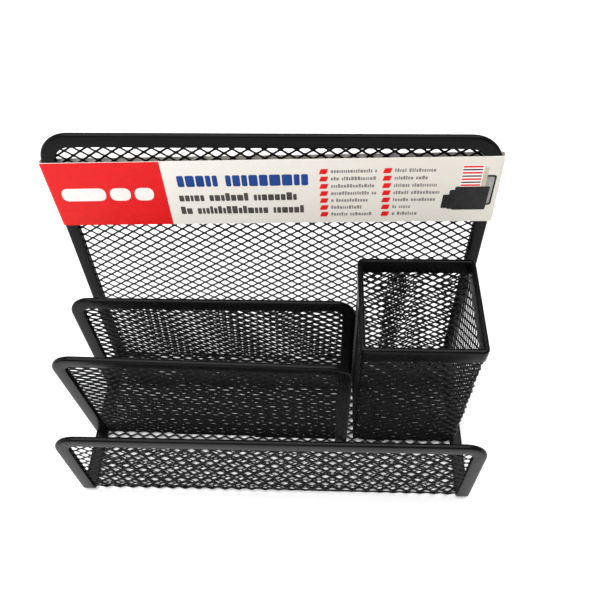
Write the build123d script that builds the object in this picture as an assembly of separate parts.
from build123d import *
from math import atan, cos, radians, sin
import os

# A steel mesh desk organizer: one mesh sheet bent into a front panel, a tray floor and a tall
# back panel, edged all round with a folded sheet steel channel. Two edged mesh dividers stand
# on the left of the tray, a square mesh pen cup stands on the right, and a printed card sleeve
# is pushed over the back panel. Millimetres. While it is modelled, X is across with 0 in the
# middle, Y is 0 at the middle of the front panel's thickness and grows backwards, and Z is up
# from the table. centre_on_footprint moves the origin to the middle of the footprint at the end.

# Overall sizes
WIDTH = 225.0
FRONT_HEIGHT = 67.4
BACK_HEIGHT = 177.5
TRAY_DEPTH = 92.5
BACK_LEAN = atan(12.1 / BACK_HEIGHT)

# Mesh and edge channel. The channel is folded over the mesh, so it has a lip on each side.
MESH_T = 1.2
CHANNEL_T = 3.0
CHANNEL_W = 7.2
FOLD_DEPTH = 1.2
FOLD_RADIUS = 1.2
CORNER_RADIUS = 12.5
BACK_CORNER_RADIUS = 17.0
BEND_RADIUS = 2.6
FLOOR_MID = CHANNEL_T / 2
MESH_TOP = FLOOR_MID + MESH_T / 2
CHANNEL_TOP = CHANNEL_T

# The edge channel is four lengths, butted on the floor just inside the two bends
BUTT_INSET = 9.0

# Dividers: where each stands, how high and how far right it reaches, and how many degrees it
# leans forward and is turned with its right end forward. The front one is welded a little askew.
DIVIDERS = {
    "front_divider": {"y": 34.6, "top": 97.0, "right": 42.5, "lean": 3.7, "turn": 1.2},
    "rear_divider": {"y": 69.3, "top": 94.0, "right": 45.2, "lean": 0.0, "turn": 0.0},
}
STEP_CLEARANCE = 0.2

# Pen cup, measured over its top band
CUP_LEFT = 45.4
CUP_RIGHT = 109.0
CUP_FRONT = 31.4
CUP_BACK = 91.6
CUP_TOP = 104.8
CUP_BAND_HEIGHT = 9.2
CUP_CORNER = 3.2
CUP_BAND_LIP = 0.9
CUP_MOUTH_CORNER = 0.8
CUP_SEAM_LAP = 12.0
CUP_SEAM_MIDDLE = 68.4

# Card sleeve
CARD_T = 0.4
CARD_HEIGHT = 41.0
CARD_MIDDLE = 144.0
CARD_TILT = 1.5
CARD_GAP = 0.25
CARD_SLACK = CARD_HEIGHT / 2 * sin(radians(CARD_TILT))
CARD_FOLD_INSIDE = 1.2

# Spot welds under the cup
WELD_RADIUS = 1.6
WELD_INSET = 13.0

# Working allowances: how far a cutter runs past what it cuts, and how near a length has to be
OVERCUT = 1.0
NEAR = 0.01


def side_path(edge):
    """The bent sheet seen from the side, with both top ends set in by edge."""
    slant = BACK_HEIGHT / cos(BACK_LEAN) - edge
    front_top = (0, FRONT_HEIGHT - edge)
    front_foot = (0, FLOOR_MID)
    back_foot = (TRAY_DEPTH + FLOOR_MID * sin(BACK_LEAN), FLOOR_MID)
    back_top = (TRAY_DEPTH + slant * sin(BACK_LEAN), slant * cos(BACK_LEAN))
    return FilletPolyline(front_top, front_foot, back_foot, back_top, radius=BEND_RADIUS)


def sheet_corners(strip, thickness, half_width):
    """The short edges across a strip's thickness at its outer corners, front pair and back pair."""
    corners = [
        e
        for e in strip.edges().filter_by(GeomType.LINE)
        if abs(e.length - thickness) < NEAR and abs(e.center().X) > half_width - NEAR
    ]
    front = [e for e in corners if e.center().Z < BACK_HEIGHT / 2]
    back = [e for e in corners if e.center().Z > BACK_HEIGHT / 2]
    return front, back


def bent_strip(thickness, edge):
    """A sheet along side_path, set in by edge from the outer outline, with round top corners."""
    half_width = WIDTH / 2 - edge
    outline = trace(side_path(edge), thickness)
    strip = extrude(Plane.YZ * outline, amount=half_width, both=True)
    strip = fillet(sheet_corners(strip, thickness, half_width)[0], CORNER_RADIUS - edge)
    return fillet(sheet_corners(strip, thickness, half_width)[1], BACK_CORNER_RADIUS - edge)


def fold_edges(solid, thickness, top_level):
    """Outer edges of a strip, at its sides and its tops, where the channel is folded."""
    picked = []
    for edge in solid.edges():
        crosswise = abs(edge.length - thickness) < NEAR
        inner_line = abs(edge.center().X) < NEAR and edge.center().Z < top_level
        if not crosswise and not inner_line:
            picked.append(edge)
    return picked


def make_body_mesh():
    return bent_strip(MESH_T, FOLD_DEPTH)


def make_body_rims(mesh):
    """The edge channel of the bent sheet, as its front, back, left and right lengths."""
    outer = bent_strip(CHANNEL_T, 0)
    outer = fillet(fold_edges(outer, CHANNEL_T, FRONT_HEIGHT - CHANNEL_W), FOLD_RADIUS)
    window = bent_strip(CHANNEL_T + 2 * OVERCUT, CHANNEL_W)
    ring = outer - window - mesh

    far = 2 * BACK_HEIGHT
    low = Align.MIN
    centre = Align.CENTER
    front_end = BUTT_INSET
    back_end = TRAY_DEPTH - BUTT_INSET
    front_half = Pos(0, front_end, -OVERCUT) * Box(far, far, far, align=(centre, Align.MAX, low))
    back_half = Pos(0, back_end, -OVERCUT) * Box(far, far, far, align=(centre, low, low))
    left_half = Box(far, far, far, align=(Align.MAX, centre, centre))
    sides = ring - front_half - back_half
    return {
        "front_rim": ring & front_half,
        "back_rim": ring & back_half,
        "base_rim_left": sides & left_half,
        "base_rim_right": sides - left_half,
    }


def upright_plate(thickness, edge, right, top):
    """A divider sheet at Y 0, set in by edge at the left, the top and the right, and long below."""
    low = MESH_TOP - OVERCUT
    width = WIDTH / 2 + right - 2 * edge
    height = top - edge - low
    middle = Pos((right - WIDTH / 2) / 2, 0, low)
    plate = middle * Box(width, thickness, height, align=(Align.CENTER, Align.CENTER, Align.MIN))
    top_corners = plate.edges().filter_by(Axis.Y).group_by(Axis.Z)[-1]
    return fillet(top_corners, CORNER_RADIUS - edge)


def make_divider(y, top, right, lean, turn):
    """A divider's mesh and its channel. The left leg stands on the tray's side channel."""
    mesh = upright_plate(MESH_T, FOLD_DEPTH, right, top)
    outer = upright_plate(CHANNEL_T, 0, right, top)
    bottom = outer.edges().group_by(Axis.Z)[0]
    folds = [e for e in fold_edges(outer, CHANNEL_T, 0) if e not in bottom]
    outer = fillet(folds, FOLD_RADIUS)
    window_plate = upright_plate(CHANNEL_T + 2 * OVERCUT, CHANNEL_W, right, top)
    rim = outer - Pos(0, 0, -OVERCUT) * window_plate - mesh

    middle = (right - WIDTH / 2) / 2
    askew = Rot(0, 0, -turn) * Rot(lean, 0, 0)
    stand = Pos(middle, y, MESH_TOP) * askew * Pos(-middle, 0, -MESH_TOP)
    align = (Align.MIN, Align.CENTER, Align.MIN)
    corner = Pos(-WIDTH / 2 - OVERCUT, y, 0)
    floor = corner * Box(WIDTH, 4 * CHANNEL_T, MESH_TOP, align=align)
    step = corner * Box(CHANNEL_W + STEP_CLEARANCE + OVERCUT, 4 * CHANNEL_T, CHANNEL_TOP, align=align)
    return stand * mesh - floor - step, stand * rim - floor - step


def cup_block(inset, bottom, top, radius):
    """An upright block with round corners, set in by inset from the outside of the top band."""
    width = CUP_RIGHT - CUP_LEFT - 2 * inset
    depth = CUP_BACK - CUP_FRONT - 2 * inset
    middle = Pos((CUP_LEFT + CUP_RIGHT) / 2, (CUP_FRONT + CUP_BACK) / 2, bottom)
    return middle * extrude(RectangleRounded(width, depth, radius), top - bottom)


def make_cup():
    """Pen cup: wrapped wall mesh with a lapped seam, floor mesh, and folded top band."""
    wall_out = CUP_BAND_LIP
    wall_in = wall_out + MESH_T
    lap_in = wall_in + MESH_T
    wall_top = CUP_TOP - FOLD_DEPTH
    band_bottom = CUP_TOP - CUP_BAND_HEIGHT
    floor_top = CHANNEL_TOP + MESH_T
    outer = cup_block(wall_out, CHANNEL_TOP, wall_top, CUP_CORNER - wall_out)
    inner = cup_block(wall_in, CHANNEL_TOP - OVERCUT, CUP_TOP, CUP_CORNER - wall_in)
    lapped = cup_block(wall_in, floor_top, band_bottom, CUP_CORNER - wall_in)
    lapped -= cup_block(lap_in, floor_top - OVERCUT, band_bottom + OVERCUT, CUP_MOUTH_CORNER)
    seam = Pos(CUP_SEAM_MIDDLE, CUP_BACK, 0) * Box(CUP_SEAM_LAP, CUP_BACK - CUP_FRONT, 2 * CUP_TOP)
    wall = outer - inner + (lapped & seam)

    floor = cup_block(wall_in, CHANNEL_TOP, floor_top, CUP_CORNER - wall_in)

    band = cup_block(0, band_bottom, CUP_TOP, CUP_CORNER)
    band = fillet(band.edges().group_by(Axis.Z)[-1], FOLD_RADIUS)
    mouth = cup_block(CHANNEL_T, band_bottom - OVERCUT, CUP_TOP + OVERCUT, CUP_MOUTH_CORNER)
    return wall, floor, band - mouth - outer


def back_plane(height):
    """Plane across the leaning back panel at a height measured along the panel."""
    up = (0, sin(BACK_LEAN), cos(BACK_LEAN))
    origin = (0, TRAY_DEPTH + height * sin(BACK_LEAN), height * cos(BACK_LEAN))
    return Plane(origin=origin, x_dir=(1, 0, 0), z_dir=up)


def make_card_sleeve():
    """A flat card tube round the back panel. It sits a little askew, right side up."""
    inner_width = WIDTH + 2 * (CARD_GAP + CARD_SLACK)
    inner_depth = CHANNEL_T + 2 * CARD_GAP
    fold_outside = CARD_FOLD_INSIDE + CARD_T
    outer_outline = RectangleRounded(inner_width + 2 * CARD_T, inner_depth + 2 * CARD_T, fold_outside)
    inner_outline = RectangleRounded(inner_width, inner_depth, CARD_FOLD_INSIDE)
    tube = extrude(outer_outline - inner_outline, CARD_HEIGHT / 2, both=True)
    return back_plane(CARD_MIDDLE) * Rot(0, -CARD_TILT, 0) * tube


def make_spot_welds():
    """Six nuggets that fill the gap between the cup's floor and the tray's floor mesh."""
    gap = CHANNEL_TOP - MESH_TOP
    nugget = Cylinder(WELD_RADIUS, gap, align=(Align.CENTER, Align.CENTER, Align.MIN))
    columns = (CUP_LEFT + WELD_INSET, (CUP_LEFT + CUP_RIGHT) / 2, CUP_RIGHT - WELD_INSET)
    rows = (CUP_FRONT + WELD_INSET, CUP_BACK - WELD_INSET)
    return Part() + [Pos(x, y, MESH_TOP) * nugget for x in columns for y in rows]


def make_parts():
    body_mesh = make_body_mesh()
    parts = {"body_mesh": body_mesh}
    parts.update(make_body_rims(body_mesh))
    for name, sizes in DIVIDERS.items():
        parts[name + "_mesh"], parts[name + "_rim"] = make_divider(**sizes)
    parts["cup_wall_mesh"], parts["cup_floor_mesh"], parts["cup_band"] = make_cup()
    parts["card_sleeve"] = make_card_sleeve()
    parts["spot_welds"] = make_spot_welds()
    return parts


def centre_on_footprint(parts):
    """Move everything so that the origin is under the middle of the whole object's box."""
    boxes = [part.bounding_box() for part in parts.values()]
    middle_x = (min(b.min.X for b in boxes) + max(b.max.X for b in boxes)) / 2
    middle_y = (min(b.min.Y for b in boxes) + max(b.max.Y for b in boxes)) / 2
    shift = Pos(-middle_x, -middle_y, 0)
    return {name: shift * part for name, part in parts.items()}


os.makedirs("parts", exist_ok=True)
for node, shape in centre_on_footprint(make_parts()).items():
    export_step(shape, "parts/" + node + ".step")
